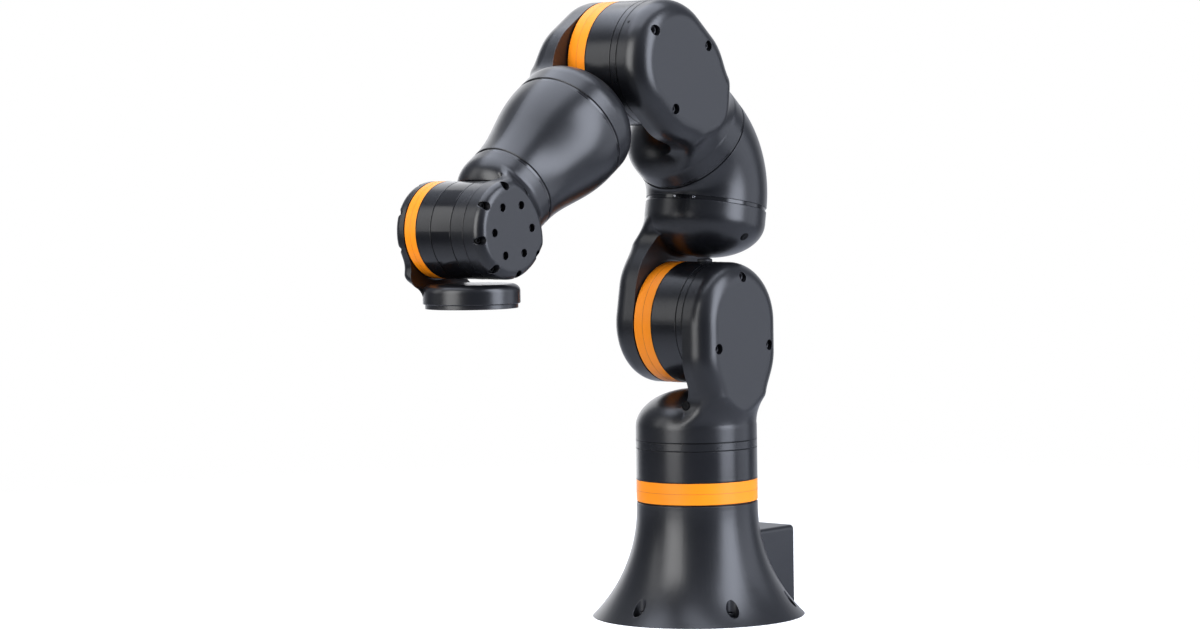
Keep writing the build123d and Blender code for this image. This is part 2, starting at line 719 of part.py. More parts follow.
def tool_flange():
    """The disc that tools bolt to, with its bolt holes and locating bore."""
    low = -TOOL_REACH
    high = low + TOOL_FLANGE_THICKNESS
    plug = TOOL_HEAD_RADIUS - WRIST_LINK_WALL
    disc = turned([
        (0, low), (TOOL_FLANGE_RADIUS, low), (TOOL_FLANGE_RADIUS, high), (plug, high),
        (plug, low + TOOL_PLUG_THICKNESS), (0, low + TOOL_PLUG_THICKNESS),
    ])
    disc = disc - rod(TOOL_CENTRE_RADIUS, low - 1, low + TOOL_CENTRE_DEPTH)
    for x, y in on_circle(TOOL_BOLT_COUNT, TOOL_BOLT_CIRCLE, 45.0):
        disc = disc - rod(TOOL_BOLT_HOLE / 2, low - 1, low + TOOL_BOLT_DEPTH, x, y)
    return disc


# Build everything in place
parts = {}
parts["base_bell"] = base_bell()
parts["base_plate"] = tube(foot_opening, BASE_CABLE_BORE, 0, BASE_PLATE_THICKNESS)
parts["connector_box"] = connector_box()
parts["connector_panel"] = connector_panel()
parts["signal_socket_left"] = round_socket(1)
parts["signal_socket_right"] = round_socket(-1)
parts["power_socket"] = power_socket()

drive_places = {
    "base_drive": (large_drive, Location((0, 0, BASE_HEIGHT))),
    "shoulder_drive": (large_drive, Location(shoulder, (-90, 0, 0))),
    "elbow_drive": (large_drive, Location(elbow, (-90, 0, 0))),
    "wrist_drive": (small_drive, Location(wrist, (-90, 0, 0))),
}
for name, (size, place) in drive_places.items():
    length = wrist_drive_length if name == "wrist_drive" else drive_length
    side = WRIST_DRIVE_SIDE if name == "wrist_drive" else DRIVE_SIDE
    shift = Pos(0, 0, 0) if name == "base_drive" else Pos(0, 0, side - length)
    for piece, solid in drive_module(size).items():
        parts[name + "_" + piece] = place * shift * solid

other_side = Rot(0, 0, 180)
parts["shoulder_elbow"] = along(shoulder, 180) * large_casting(large_elbow)
lower_casting = other_side * large_casting(output_elbow)
bend_start = SHOULDER_LEAN - UPPER_ARM_BEND / 2
bend_end = SHOULDER_LEAN + UPPER_ARM_BEND / 2
parts["upper_arm_lower_elbow"] = along(shoulder, bend_start) * lower_casting
parts["upper_arm_upper_elbow"] = along(elbow, bend_end + 180) * large_casting(large_elbow)
parts["forearm_elbow"] = along(elbow, forearm_angle) * lower_casting
parts["upper_arm_bend"] = upper_arm_bend()
big_ring = Pos(0, 0, -seam_outer) * seam_ring(DRIVE_RADIUS, LINK_WALL)
parts["lower_seam_ring"] = along(shoulder, bend_start) * big_ring
parts["upper_seam_ring"] = along(elbow, bend_end + 180) * big_ring
parts["forearm_seam_ring"] = along(elbow, forearm_angle) * big_ring
parts["forearm_cone"] = along(elbow, forearm_angle) * forearm_cone()
small_ring = Pos(0, 0, -FOREARM_END - SEAM_RING_WIDTH) * seam_ring(WRIST_COLLAR_RADIUS, WRIST_LINK_WALL)
parts["wrist_seam_ring"] = along(elbow, forearm_angle) * small_ring
parts["wrist_elbow"] = along(wrist, forearm_angle + 180) * small_casting(wrist_elbow_size)
parts["wrist_bracket"] = along(wrist, tool_angle) * other_side * wrist_bracket()
parts["tool_flange"] = along(wrist, tool_angle) * tool_flange()

os.makedirs("parts", exist_ok=True)
for name, solid in parts.items():
    export_step(solid, "parts/" + name + ".step")
print(len(parts), "pieces")
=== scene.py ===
# %% [markdown]
# A small robot arm in charcoal castings, with black drive modules and orange bearing rings.
# The solid model comes in as a fixed frame: every piece keeps its place and its size, and this
# file adds the finishes, the small fasteners and the studio around it.

# %% Load the arm and keep its box
import bpy
import bmesh
import json
import math
from mathutils import Matrix, Vector


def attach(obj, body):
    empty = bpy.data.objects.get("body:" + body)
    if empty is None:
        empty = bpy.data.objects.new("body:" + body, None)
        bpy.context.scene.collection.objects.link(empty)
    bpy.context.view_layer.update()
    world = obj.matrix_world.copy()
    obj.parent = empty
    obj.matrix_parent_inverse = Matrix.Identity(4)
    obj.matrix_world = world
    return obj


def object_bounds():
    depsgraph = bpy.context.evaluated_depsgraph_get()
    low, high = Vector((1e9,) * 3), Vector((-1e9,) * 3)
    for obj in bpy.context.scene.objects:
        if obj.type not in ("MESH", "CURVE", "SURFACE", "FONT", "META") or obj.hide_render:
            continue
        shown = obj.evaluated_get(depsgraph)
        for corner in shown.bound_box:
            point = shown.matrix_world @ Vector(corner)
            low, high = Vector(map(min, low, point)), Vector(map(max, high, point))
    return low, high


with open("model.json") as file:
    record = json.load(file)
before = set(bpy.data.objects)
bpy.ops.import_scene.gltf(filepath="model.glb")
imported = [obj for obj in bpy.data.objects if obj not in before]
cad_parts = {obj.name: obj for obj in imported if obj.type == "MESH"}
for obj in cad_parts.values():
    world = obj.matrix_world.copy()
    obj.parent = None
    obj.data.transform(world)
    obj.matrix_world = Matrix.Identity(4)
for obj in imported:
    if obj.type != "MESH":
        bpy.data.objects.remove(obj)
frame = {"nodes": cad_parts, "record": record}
cad_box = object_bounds()
MM = 0.001
scene = bpy.context.scene

# %% [markdown]
# The camera stands where the photographer stood: almost three metres off, a little higher than the
# middle of the arm, with a long lens. A long lens keeps the rings round and the collars straight.
# Its axes are worked out from three small angles, so each can be set by itself.

# %% The camera
CAMERA_AZIMUTH = math.radians(39.04)
CAMERA_DISTANCE = 2.8837
CAMERA_HEIGHT = 0.4078
CAMERA_PITCH = math.radians(2.907)
CAMERA_YAW = math.radians(-1.629)
CAMERA_ROLL = math.radians(0.863)
SENSOR_WIDTH = 36.0
FOCAL_PIXELS = 3334.6
FRAME_WIDTH = 1200.0


def place_camera():
    """Builds the camera from its place and its pitch, yaw and roll."""
    toward = Vector((math.cos(CAMERA_AZIMUTH), math.sin(CAMERA_AZIMUTH), 0))
    side = Vector((-math.sin(CAMERA_AZIMUTH), math.cos(CAMERA_AZIMUTH), 0))
    up = Vector((0, 0, 1))
    ahead = side * math.sin(CAMERA_YAW) - toward * math.cos(CAMERA_YAW)
    right = side * math.cos(CAMERA_YAW) + toward * math.sin(CAMERA_YAW)
    tilted_up = up * math.cos(CAMERA_PITCH) + ahead * math.sin(CAMERA_PITCH)
    tilted_ahead = ahead * math.cos(CAMERA_PITCH) - up * math.sin(CAMERA_PITCH)
    rolled_right = right * math.cos(CAMERA_ROLL) - tilted_up * math.sin(CAMERA_ROLL)
    rolled_up = right * math.sin(CAMERA_ROLL) + tilted_up * math.cos(CAMERA_ROLL)
    data = bpy.data.cameras.new("studio_camera")
    data.sensor_width = SENSOR_WIDTH
    data.lens = FOCAL_PIXELS / FRAME_WIDTH * SENSOR_WIDTH
    data.clip_start = 0.05
    data.clip_end = 60
    camera = bpy.data.objects.new("studio_camera", data)
    scene.collection.objects.link(camera)
    axes = Matrix((rolled_right, rolled_up, -tilted_ahead)).transposed().to_4x4()
    place = toward * CAMERA_DISTANCE + up * CAMERA_HEIGHT
    camera.matrix_world = Matrix.Translation(place) @ axes
    scene.camera = camera
    return camera


camera = place_camera()
print("lens", round(camera.data.lens, 2), "mm")

# %% [markdown]
# The studio is a pale floor that fades into white, a soft grey surround for the reflections, and
# large soft lights. Dark satin castings show little of their own colour: what one sees is mostly
# the lights' long reflections, so each light is placed for the streak that it draws.

# %% Floor, surround and lights
scene.view_settings.view_transform = "Standard"
scene.view_settings.look = "None"


def new_material(name):
    """An empty node material with its output and one surface shader."""
    material = bpy.data.materials.new(name)
    material.use_nodes = True
    nodes = material.node_tree.nodes
    nodes.clear()
    output = nodes.new("ShaderNodeOutputMaterial")
    shader = nodes.new("ShaderNodeBsdfPrincipled")
    material.node_tree.links.new(shader.outputs["BSDF"], output.inputs["Surface"])
    return material, shader


FLOOR_RADIUS = 1.6
FLOOR_FADE_START = 0.25
FLOOR_FADE_END = FLOOR_RADIUS * 0.9
FLOOR_THROWN = (0.44, 0.45, 0.48, 1)
FLOOR_SEEN = (0.93, 0.93, 0.93, 1)
FLOOR_GLOW = (1.0, 0.98, 0.94, 1)
FLOOR_GLOW_STRENGTH = 0.22


def lay_floor():
    """A pale round floor whose rim fades away, so that no horizon shows.

    It throws less light back up than it shows, because the arm's undersides stay dark.
    """
    mesh = bpy.data.meshes.new("studio_floor")
    shape = bmesh.new()
    bmesh.ops.create_circle(shape, cap_ends=True, radius=FLOOR_RADIUS, segments=96)
    shape.to_mesh(mesh)
    shape.free()
    floor = bpy.data.objects.new("studio_floor", mesh)
    scene.collection.objects.link(floor)
    material, shader = new_material("pale_floor")
    nodes, links = material.node_tree.nodes, material.node_tree.links
    seen = nodes.new("ShaderNodeLightPath")
    tone = nodes.new("ShaderNodeMixRGB")
    tone.inputs["Color1"].default_value = FLOOR_THROWN
    tone.inputs["Color2"].default_value = FLOOR_SEEN
    links.new(seen.outputs["Is Camera Ray"], tone.inputs["Fac"])
    links.new(tone.outputs["Color"], shader.inputs["Base Color"])
    lift = nodes.new("ShaderNodeMath")
    lift.operation = "MULTIPLY"
    lift.inputs[1].default_value = FLOOR_GLOW_STRENGTH
    links.new(seen.outputs["Is Camera Ray"], lift.inputs[0])
    links.new(lift.outputs["Value"], shader.inputs["Emission Strength"])
    shader.inputs["Emission Color"].default_value = FLOOR_GLOW
    shader.inputs["Roughness"].default_value = 0.75
    shader.inputs["Specular IOR Level"].default_value = 0.2
    place = nodes.new("ShaderNodeTexCoord")
    length = nodes.new("ShaderNodeVectorMath")
    length.operation = "LENGTH"
    fade = nodes.new("ShaderNodeMapRange")
    fade.interpolation_type = "SMOOTHSTEP"
    fade.inputs["From Min"].default_value = FLOOR_FADE_START
    fade.inputs["From Max"].default_value = FLOOR_FADE_END
    clear = nodes.new("ShaderNodeBsdfTransparent")
    mix = nodes.new("ShaderNodeMixShader")
    output = [n for n in nodes if n.type == "OUTPUT_MATERIAL"][0]
    links.new(place.outputs["Object"], length.inputs[0])
    links.new(length.outputs["Value"], fade.inputs["Value"])
    links.new(fade.outputs["Result"], mix.inputs["Fac"])
    links.new(shader.outputs["BSDF"], mix.inputs[1])
    links.new(clear.outputs["BSDF"], mix.inputs[2])
    links.new(mix.outputs["Shader"], output.inputs["Surface"])
    mesh.materials.append(material)


BACKDROP_AZIMUTH = math.radians(-138)
BACKDROP_COLOUR = (1.6, 1.65, 1.8, 1)
BACKDROP_RIM = 0.58
BACKDROP_CORE = 0.90
LOW_TONE = (0.21, 0.235, 0.285, 1)
HIGH_TONE = (0.80, 0.86, 1.0, 1)
SURROUND_STRENGTH = 0.47


def set_surround():
    """White where the camera looks past the arm, soft grey in the reflections.

    The white backdrop behind the arm shines low and broad, and lights the castings' far edges.
    """
    world = bpy.data.worlds.new("studio_surround")
    world.use_nodes = True
    scene.world = world
    nodes, links = world.node_tree.nodes, world.node_tree.links
    nodes.clear()
    output = nodes.new("ShaderNodeOutputWorld")
    seen = nodes.new("ShaderNodeBackground")
    seen.inputs["Color"].default_value = (1, 1, 1, 1)
    seen.inputs["Strength"].default_value = 1.0
    mirrored = nodes.new("ShaderNodeBackground")
    mirrored.inputs["Strength"].default_value = SURROUND_STRENGTH
    backdrop = (math.cos(BACKDROP_AZIMUTH), math.sin(BACKDROP_AZIMUTH), -0.05)
    place = nodes.new("ShaderNodeTexCoord")
    split = nodes.new("ShaderNodeSeparateXYZ")
    ramp = nodes.new("ShaderNodeValToRGB")
    ramp.color_ramp.elements[0].position = 0.45
    ramp.color_ramp.elements[0].color = LOW_TONE
    ramp.color_ramp.elements[1].position = 0.95
    ramp.color_ramp.elements[1].color = HIGH_TONE
    toward = nodes.new("ShaderNodeVectorMath")
    toward.operation = "DOT_PRODUCT"
    toward.inputs[1].default_value = backdrop
    glow = nodes.new("ShaderNodeMapRange")
    glow.interpolation_type = "SMOOTHSTEP"
    glow.inputs["From Min"].default_value = BACKDROP_RIM
    glow.inputs["From Max"].default_value = BACKDROP_CORE
    behind = nodes.new("ShaderNodeMixRGB")
    behind.inputs["Color2"].default_value = BACKDROP_COLOUR
    lift = nodes.new("ShaderNodeMapRange")
    lift.inputs["From Min"].default_value = -1
    links.new(place.outputs["Generated"], split.inputs["Vector"])
    links.new(split.outputs["Z"], lift.inputs["Value"])
    links.new(lift.outputs["Result"], ramp.inputs["Fac"])
    links.new(place.outputs["Generated"], toward.inputs[0])
    links.new(toward.outputs["Value"], glow.inputs["Value"])
    links.new(glow.outputs["Result"], behind.inputs["Fac"])
    links.new(ramp.outputs["Color"], behind.inputs["Color1"])
    links.new(behind.outputs["Color"], mirrored.inputs["Color"])
    path = nodes.new("ShaderNodeLightPath")
    mix = nodes.new("ShaderNodeMixShader")
    links.new(path.outputs["Is Camera Ray"], mix.inputs["Fac"])
    links.new(mirrored.outputs["Background"], mix.inputs[1])
    links.new(seen.outputs["Background"], mix.inputs[2])
    links.new(mix.outputs["Shader"], output.inputs["Surface"])


NEUTRAL = (1.0, 1.0, 1.0)
COOL = (0.82, 0.87, 1.0)
# name, azimuth and elevation in degrees, distance, width and height in metres, watts, colour
SOFT_LIGHTS = (
    ("overhead_softbox", -85, 80, 1.6, 1.7, 1.6, 31, COOL),
    ("left_softbox", -5, 16, 1.8, 1.05, 1.6, 29, NEUTRAL),
    ("right_softbox", 102, 22, 1.8, 1.0, 2.2, 56, COOL),
    ("rear_softbox", -122, 20, 1.8, 0.9, 2.2, 7, NEUTRAL),
    ("side_fill", 140, 4, 2.0, 1.1, 1.5, 8, COOL),
    ("arm_card", -42, 21, 1.1, 0.30, 0.72, 1.3, NEUTRAL),
)


def soft_light(name, azimuth, elevation, distance, width, height, power, colour):
    """A rectangular soft light that looks at the middle of the arm."""
    data = bpy.data.lights.new(name, "AREA")
    data.color = colour
    data.shape = "RECTANGLE"
    data.size = width
    data.size_y = height
    data.energy = power
    light = bpy.data.objects.new(name, data)
    scene.collection.objects.link(light)
    turn, lift = math.radians(azimuth), math.radians(elevation)
    out = Vector((
        math.cos(turn) * math.cos(lift), math.sin(turn) * math.cos(lift), math.sin(lift)))
    middle = (cad_box[0] + cad_box[1]) / 2
    light.location = middle + out * distance
    light.rotation_euler = (-out).to_track_quat("-Z", "Y").to_euler()
    light.visible_camera = False


lay_floor()
set_surround()
for soft_light_values in SOFT_LIGHTS:
    soft_light(*soft_light_values)

# %% [markdown]
# Two effects come back in nearly every finish. The first is the fine grain that a cast and
# painted shell or a blasted flange has: shallow bumps less than a millimetre apart, and slow
# patches where the sheen changes with handling. The second is the normal rounded over each
# edge, with a painted highlight: a lighter colour along the edge. Both are node groups, made
# once and tuned in each material.

# %% Shared shader groups
def new_group(name, inputs, outputs):
    """A shader node group with float inputs and the named outputs."""
    group = bpy.data.node_groups.new(name, "ShaderNodeTree")
    for label, value in inputs.items():
        socket = group.interface.new_socket(
            name=label, in_out="INPUT", socket_type="NodeSocketFloat")
        socket.default_value = value
    for label, kind in outputs.items():
        group.interface.new_socket(name=label, in_out="OUTPUT", socket_type=kind)
    entry = group.nodes.new("NodeGroupInput")
    leave = group.nodes.new("NodeGroupOutput")
    return group, entry, leave


def make_surface_grain():
    """Grain height, and a slow patchiness from 0 to 1 for sheen and colour."""
    group, entry, leave = new_group(
        "surface_grain",
        {"Grain Size": 0.0008, "Patch Size": 0.05},
        {"Height": "NodeSocketFloat", "Patches": "NodeSocketFloat"},
    )
    nodes, links = group.nodes, group.links
    place = nodes.new("ShaderNodeTexCoord")
    for size, detail, output in (("Grain Size", 2.0, "Height"), ("Patch Size", 3.0, "Patches")):
        scale = nodes.new("ShaderNodeMath")
        scale.operation = "DIVIDE"
        scale.inputs[0].default_value = 1.0
        links.new(entry.outputs[size], scale.inputs[1])
        noise = nodes.new("ShaderNodeTexNoise")
        noise.inputs["Detail"].default_value = detail
        links.new(place.outputs["Object"], noise.inputs["Vector"])
        links.new(scale.outputs["Value"], noise.inputs["Scale"])
        links.new(noise.outputs["Fac"], leave.inputs[output])
    return group


def make_soft_edge():
    """A mask that is 1 along convex edges, for the painted edge highlight, and the normal rounded
    over them.
    """
    group, entry, leave = new_group(
        "soft_edge", {"Radius": 0.0006}, {"Edge": "NodeSocketFloat", "Normal": "NodeSocketVector"},
    )
    nodes, links = group.nodes, group.links
    bevel = nodes.new("ShaderNodeBevel")
    bevel.samples = 6
    shape = nodes.new("ShaderNodeNewGeometry")
    dot = nodes.new("ShaderNodeVectorMath")
    dot.operation = "DOT_PRODUCT"
    mask = nodes.new("ShaderNodeMapRange")
    mask.inputs["From Min"].default_value = 0.995
    mask.inputs["From Max"].default_value = 0.86
    links.new(entry.outputs["Radius"], bevel.inputs["Radius"])
    links.new(bevel.outputs["Normal"], dot.inputs[0])
    links.new(shape.outputs["Normal"], dot.inputs[1])
    links.new(dot.outputs["Value"], mask.inputs["Value"])
    links.new(mask.outputs["Result"], leave.inputs["Edge"])
    links.new(bevel.outputs["Normal"], leave.inputs["Normal"])
    return group


surface_grain = make_surface_grain()
soft_edge = make_soft_edge()

# %% [markdown]
# Every finish of the arm is a coat over metal or moulded plastic, so one recipe serves them all:
# a base colour that drifts a little in patches and is lightened along edges as a painted
# highlight, a roughness that drifts with it, and a fine grain as bump. Each finish gives the
# recipe its own numbers.

# %% The finish recipe
PATCH_SPREAD = 0.1
finishes = {}


def finish(name, colour, edge_highlight_colour, roughness, drift=0.05, grain=0.0008, bump=0.05,
           edge=0.0006, metallic=0.0, specular=0.5):
    """A coated surface with grain, patches, rounded edges and a painted edge highlight, kept under
    its name.
    """
    material, shader = new_material(name)
    nodes, links = material.node_tree.nodes, material.node_tree.links
    texture = nodes.new("ShaderNodeGroup")
    texture.node_tree = surface_grain
    texture.inputs["Grain Size"].default_value = grain
    rounding = nodes.new("ShaderNodeGroup")
    rounding.node_tree = soft_edge
    rounding.inputs["Radius"].default_value = edge
    tone = nodes.new("ShaderNodeMixRGB")
    tone.inputs["Color1"].default_value = (*[c * (1 - PATCH_SPREAD) for c in colour], 1)
    tone.inputs["Color2"].default_value = (*[c * (1 + PATCH_SPREAD) for c in colour], 1)
    # Painted highlight: the colour is lightened to the edge highlight colour wherever the edge mask
    # is 1.
    edge_highlight_mix = nodes.new("ShaderNodeMixRGB")
    edge_highlight_mix.inputs["Color2"].default_value = (*edge_highlight_colour, 1)
    sheen = nodes.new("ShaderNodeMapRange")
    sheen.inputs["To Min"].default_value = roughness - drift
    sheen.inputs["To Max"].default_value = roughness + drift
    relief = nodes.new("ShaderNodeBump")
    relief.inputs["Strength"].default_value = bump
    relief.inputs["Distance"].default_value = grain
    links.new(texture.outputs["Patches"], tone.inputs["Fac"])
    links.new(tone.outputs["Color"], edge_highlight_mix.inputs["Color1"])
    links.new(rounding.outputs["Edge"], edge_highlight_mix.inputs["Fac"])
    links.new(edge_highlight_mix.outputs["Color"], shader.inputs["Base Color"])
    links.new(texture.outputs["Patches"], sheen.inputs["Value"])
    links.new(sheen.outputs["Result"], shader.inputs["Roughness"])
    links.new(texture.outputs["Height"], relief.inputs["Height"])
    links.new(rounding.outputs["Normal"], relief.inputs["Normal"])
    links.new(relief.outputs["Normal"], shader.inputs["Normal"])
    shader.inputs["Metallic"].default_value = metallic
    shader.inputs["Specular IOR Level"].default_value = specular
    finishes[name] = material


# The second colour of each finish is its painted edge highlight.
finish("charcoal_casting", (0.0062, 0.0065, 0.0080), (0.020, 0.021, 0.025), 0.30)
finish("drive_housing", (0.0048, 0.0050, 0.0064), (0.020, 0.021, 0.024), 0.25, bump=0.03)
finish("gloss_black", (0.004, 0.004, 0.005), (0.03, 0.03, 0.033), 0.17, drift=0.04, bump=0.0)
finish("black_flange", (0.0058, 0.0061, 0.0074), (0.022, 0.023, 0.026), 0.27, bump=0.03)
finish("black_anodised", (0.010, 0.010, 0.012), (0.06, 0.06, 0.065), 0.32, bump=0.03)
finish("orange_ring", (0.96, 0.270, 0.004), (1.0, 0.36, 0.03), 0.42, bump=0.04, grain=0.0005,
       specular=0.3)
finish("motor_steel", (0.30, 0.30, 0.32), (0.5, 0.5, 0.5), 0.35, metallic=1.0)
finish("gear_alloy", (0.60, 0.60, 0.62), (0.8, 0.8, 0.8), 0.30, metallic=1.0)
finish("board", (0.03, 0.20, 0.09), (0.2, 0.4, 0.2), 0.45)
finish("plate_steel", (0.035, 0.036, 0.04), (0.2, 0.2, 0.2), 0.45)
finish("socket_metal", (0.50, 0.50, 0.52), (0.8, 0.8, 0.8), 0.28, metallic=1.0)
finish("connector_black", (0.015, 0.015, 0.017), (0.06, 0.06, 0.065), 0.5)
print("finishes", len(finishes))

# %% [markdown]
# The record names a finish for every node, so dressing the arm is one loop. The nodes keep their
# own meshes; only what they wear changes.

# %% Dress the carried-over nodes
for subpart in frame["record"]["subparts"]:
    piece = frame["nodes"][subpart["node"]]
    piece.data.materials.clear()
    piece.data.materials.append(finishes[subpart["material_slot"]])

# %% [markdown]
# The castings hang on the joints, so the fasteners find their places from the joints too. A casting
# is described in its own small frame: the joint axis is Y, the side plate is on +Y and the collar
# points down. The same screw ring can then be put on any casting by that casting's place.

# %% Places on the arm
SHOULDER_LEAN = 20.0
UPPER_ARM_BEND = 60.0
ELBOW_FOLD = 103.7
FOREARM_ANGLE = SHOULDER_LEAN + ELBOW_FOLD
TOOL_ANGLE = 180.0
LARGE_RADIUS = 52.5
SMALL_RADIUS = 39.2
joint_places = {
    joint["name"]: Vector(joint["pos_m"]) for joint in frame["record"]["behaviour"]["joints"]
}
shoulder = joint_places["shoulder_pitch"]
elbow = joint_places["elbow_pitch"]
wrist = joint_places["wrist_pitch"]


def casting_place(point, angle, other_side=False):
    """The frame of a casting whose collar leans this many degrees from upright."""
    place = Matrix.Translation(point) @ Matrix.Rotation(math.radians(angle + 180), 4, "Y")
    if other_side:
        place = place @ Matrix.Rotation(math.pi, 4, "Z")
    return place


def facing(point, direction):
    """A place at a point, with its own +Z along a direction."""
    turn = Vector(direction).to_track_quat("Z", "Y").to_matrix().to_4x4()
    return Matrix.Translation(point) @ turn


castings = {
    "shoulder_elbow": (casting_place(shoulder, 180), "shoulder"),
    "upper_arm_lower_elbow": (
        casting_place(shoulder, SHOULDER_LEAN - UPPER_ARM_BEND / 2, True), "upper_arm"),
    "upper_arm_upper_elbow": (
        casting_place(elbow, SHOULDER_LEAN + UPPER_ARM_BEND / 2 + 180), "upper_arm"),
    "forearm_elbow": (casting_place(elbow, FOREARM_ANGLE, True), "forearm"),
    "wrist_elbow": (casting_place(wrist, FOREARM_ANGLE + 180), "forearm"),
    "wrist_bracket": (casting_place(wrist, TOOL_ANGLE, True), "tool_head"),
}

# %% [markdown]
# Every fastener is turned on a lathe: a list of rings, each with a radius and a height, joined by
# strips of faces. A ring can be hexagonal instead of round, and that makes the key socket of a cap
# screw. One mesh serves all the screws of a size.

# %% The lathe and the fasteners
LATHE_STEPS = 24


def ring_radius(radius, turn, hexagonal):
    """The distance to the rim of a round or a hexagonal ring at a turn."""
    if not hexagonal:
        return radius
    within = math.fmod(turn, math.pi / 3) - math.pi / 6
    return radius * math.cos(math.pi / 6) / math.cos(within)


def lathe(name, rings, steps=LATHE_STEPS):
    """A mesh turned about Z from (radius, height) or (radius, height, "hex") rings."""
    shape = bmesh.new()
    loops = []
    for ring in rings:
        hexagonal = len(ring) > 2
        loop = []
        for step in range(steps):
            turn = 2 * math.pi * step / steps
            radius = ring_radius(ring[0], turn, hexagonal)
            loop.append(shape.verts.new((
                radius * math.cos(turn) * MM, radius * math.sin(turn) * MM, ring[1] * MM)))
        loops.append(loop)
    for low, high in zip(loops, loops[1:]):
        for step in range(steps):
            after = (step + 1) % steps
            shape.faces.new((low[step], low[after], high[after], high[step]))
    shape.faces.new(list(reversed(loops[0])))
    shape.faces.new(loops[-1])
    mesh = bpy.data.meshes.new(name)
    shape.to_mesh(mesh)
    shape.free()
    for face in mesh.polygons:
        face.use_smooth = len(face.vertices) == 4
    return mesh


def cap_screw_mesh(name, head, height, key):
    """A socket cap screw's head, standing on its seat, with a hexagonal key socket."""
    rounding = 0.12 * head
    return lathe(name, [
        (head, 0), (head, height - rounding), (head - rounding / 3, height - rounding / 3),
        (head - rounding, height),
        (key * 1.25, height), (key, height - 0.15 * key, "hex"), (key, height * 0.4, "hex"),
        (key * 0.5, height * 0.3),
    ])


def add_piece(name, mesh, place, body, slot, material=None):
    """Puts a mesh at a place, on a body, in a finish."""
    piece = bpy.data.objects.new(name, mesh)
    scene.collection.objects.link(piece)
    piece.matrix_world = place
    if not mesh.materials:
        mesh.materials.append(material or finishes[slot])
    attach(piece, body)


def screw_ring(name, casting, mesh, count, circle, start, seat, wear="screw_black"):
    """A ring of screws on a casting's side plate, standing on their sunk seats."""
    place, body = castings[casting]
    for index in range(count):
        turn = math.radians(start) + 2 * math.pi * index / count
        point = Vector((circle / 2 * math.cos(turn), seat, circle / 2 * math.sin(turn))) * MM
        add_piece(
            f"{casting}_{name}_{index + 1}", mesh,
            place @ facing(point, (0, 1, 0)), body, "black_flange", finishes[wear])


# Painted shade: a near-black, barely shiny finish that paints the shade of a deep hole onto the rim
# screws and the dome plugs.
finish("painted_hole_shade", (0.0010, 0.0010, 0.0012), (0.004, 0.004, 0.0045), 0.55, bump=0.0,
       specular=0.12)
finish("screw_black", (0.018, 0.018, 0.020), (0.20, 0.20, 0.21), 0.30, drift=0.08, bump=0.02,
       metallic=0.6, edge=0.0003)

LARGE_SIDE = 54.5
WRIST_SIDE = 46.5
BRACKET_SIDE = 48.5
CAP_SEAT = 9.0
INNER_SEAT = 7.0
RIM_SEAT = 8.0
LARGE_CIRCLE = 80.0
INNER_CIRCLE = 44.0
RIM_CIRCLE = 72.0
LARGE_START = 90.0
RIM_START = 22.5
LARGE_ELBOWS = (
    "shoulder_elbow", "upper_arm_lower_elbow", "upper_arm_upper_elbow", "forearm_elbow")
large_screw = cap_screw_mesh("large_cap_screw", 4.2, 5.0, 2.3)
small_screw = cap_screw_mesh("small_cap_screw", 3.1, 3.0, 1.7)
rim_screw = cap_screw_mesh("rim_cap_screw", 2.6, 2.4, 1.4)
for casting in LARGE_ELBOWS:
    screw_ring("cap_screw", casting, large_screw, 3, LARGE_CIRCLE, LARGE_START,
               LARGE_SIDE - CAP_SEAT)
for casting, side in (("wrist_elbow", WRIST_SIDE), ("wrist_bracket", BRACKET_SIDE)):
    screw_ring("cap_screw", casting, small_screw, 6, INNER_CIRCLE, 0.0, side - INNER_SEAT)
    # The rim screws wear the painted hole shade, so that their pockets read black.
    screw_ring("rim_screw", casting, rim_screw, 8, RIM_CIRCLE, RIM_START, side - RIM_SEAT,
               "painted_hole_shade")

# %% [markdown]
# Where two turned pieces meet there is a hair-thin dark joint, and halfway along each orange ring
# runs a finer one, where its two halves close. Each is a very thin band, a tenth of a millimetre
# proud of the surface, with its edges sunk into it. A corner that would leave the arm's own box is
# drawn back onto it, so that the arm keeps its size.

# %% Joint lines
JOINT_PROUD = 0.10
JOINT_SUNK = 0.25
JOINT_STEPS = 120


def joint_line(name, place, radius, station, width, body, slot, material):
    """A hair-thin band round a turned surface, at a station along its axis."""
    low, high = station - width / 2, station + width / 2
    inner, outer = radius - JOINT_SUNK, radius + JOINT_PROUD
    mesh = lathe(name, [(inner, low), (outer, low), (outer, high), (inner, high)],
                 JOINT_STEPS)
    back = place.inverted()
    for corner in mesh.vertices:
        point = place @ corner.co
        corner.co = back @ Vector([
            min(max(value, least), most) for value, least, most in zip(point, *cad_box)])
    add_piece(name, mesh, place, body, slot, material)


finish("joint_shadow", (0.0012, 0.0012, 0.0014), (0.004, 0.004, 0.0045), 0.30, drift=0.03,
       bump=0.0, specular=0.15)
finish("ring_split", (0.42, 0.115, 0.006), (0.55, 0.16, 0.01), 0.45, bump=0.02)
BASE_BACK = 54.2
LARGE_BACK = 28.0
LARGE_REAR = 7.0
LARGE_HOUSING = 27.0
LARGE_RING = 19.0
BACK_GAP = 1.0
LARGE_GAP = 0.6
LARGE_SPLIT_GAP = 0.3
WRIST_GAP = 0.55
WRIST_SPLIT_GAP = 0.2
WRIST_SPLIT = -29.4
axis_y = Matrix.Rotation(-math.pi / 2, 4, "X")
large_drives = {
    "base": (Matrix.Translation(joint_places["base_turn"]), BASE_BACK, "shoulder"),
    "shoulder": (Matrix.Translation(shoulder) @ axis_y, LARGE_BACK, "shoulder"),
    "elbow": (Matrix.Translation(elbow) @ axis_y, LARGE_BACK, "upper_arm"),
}
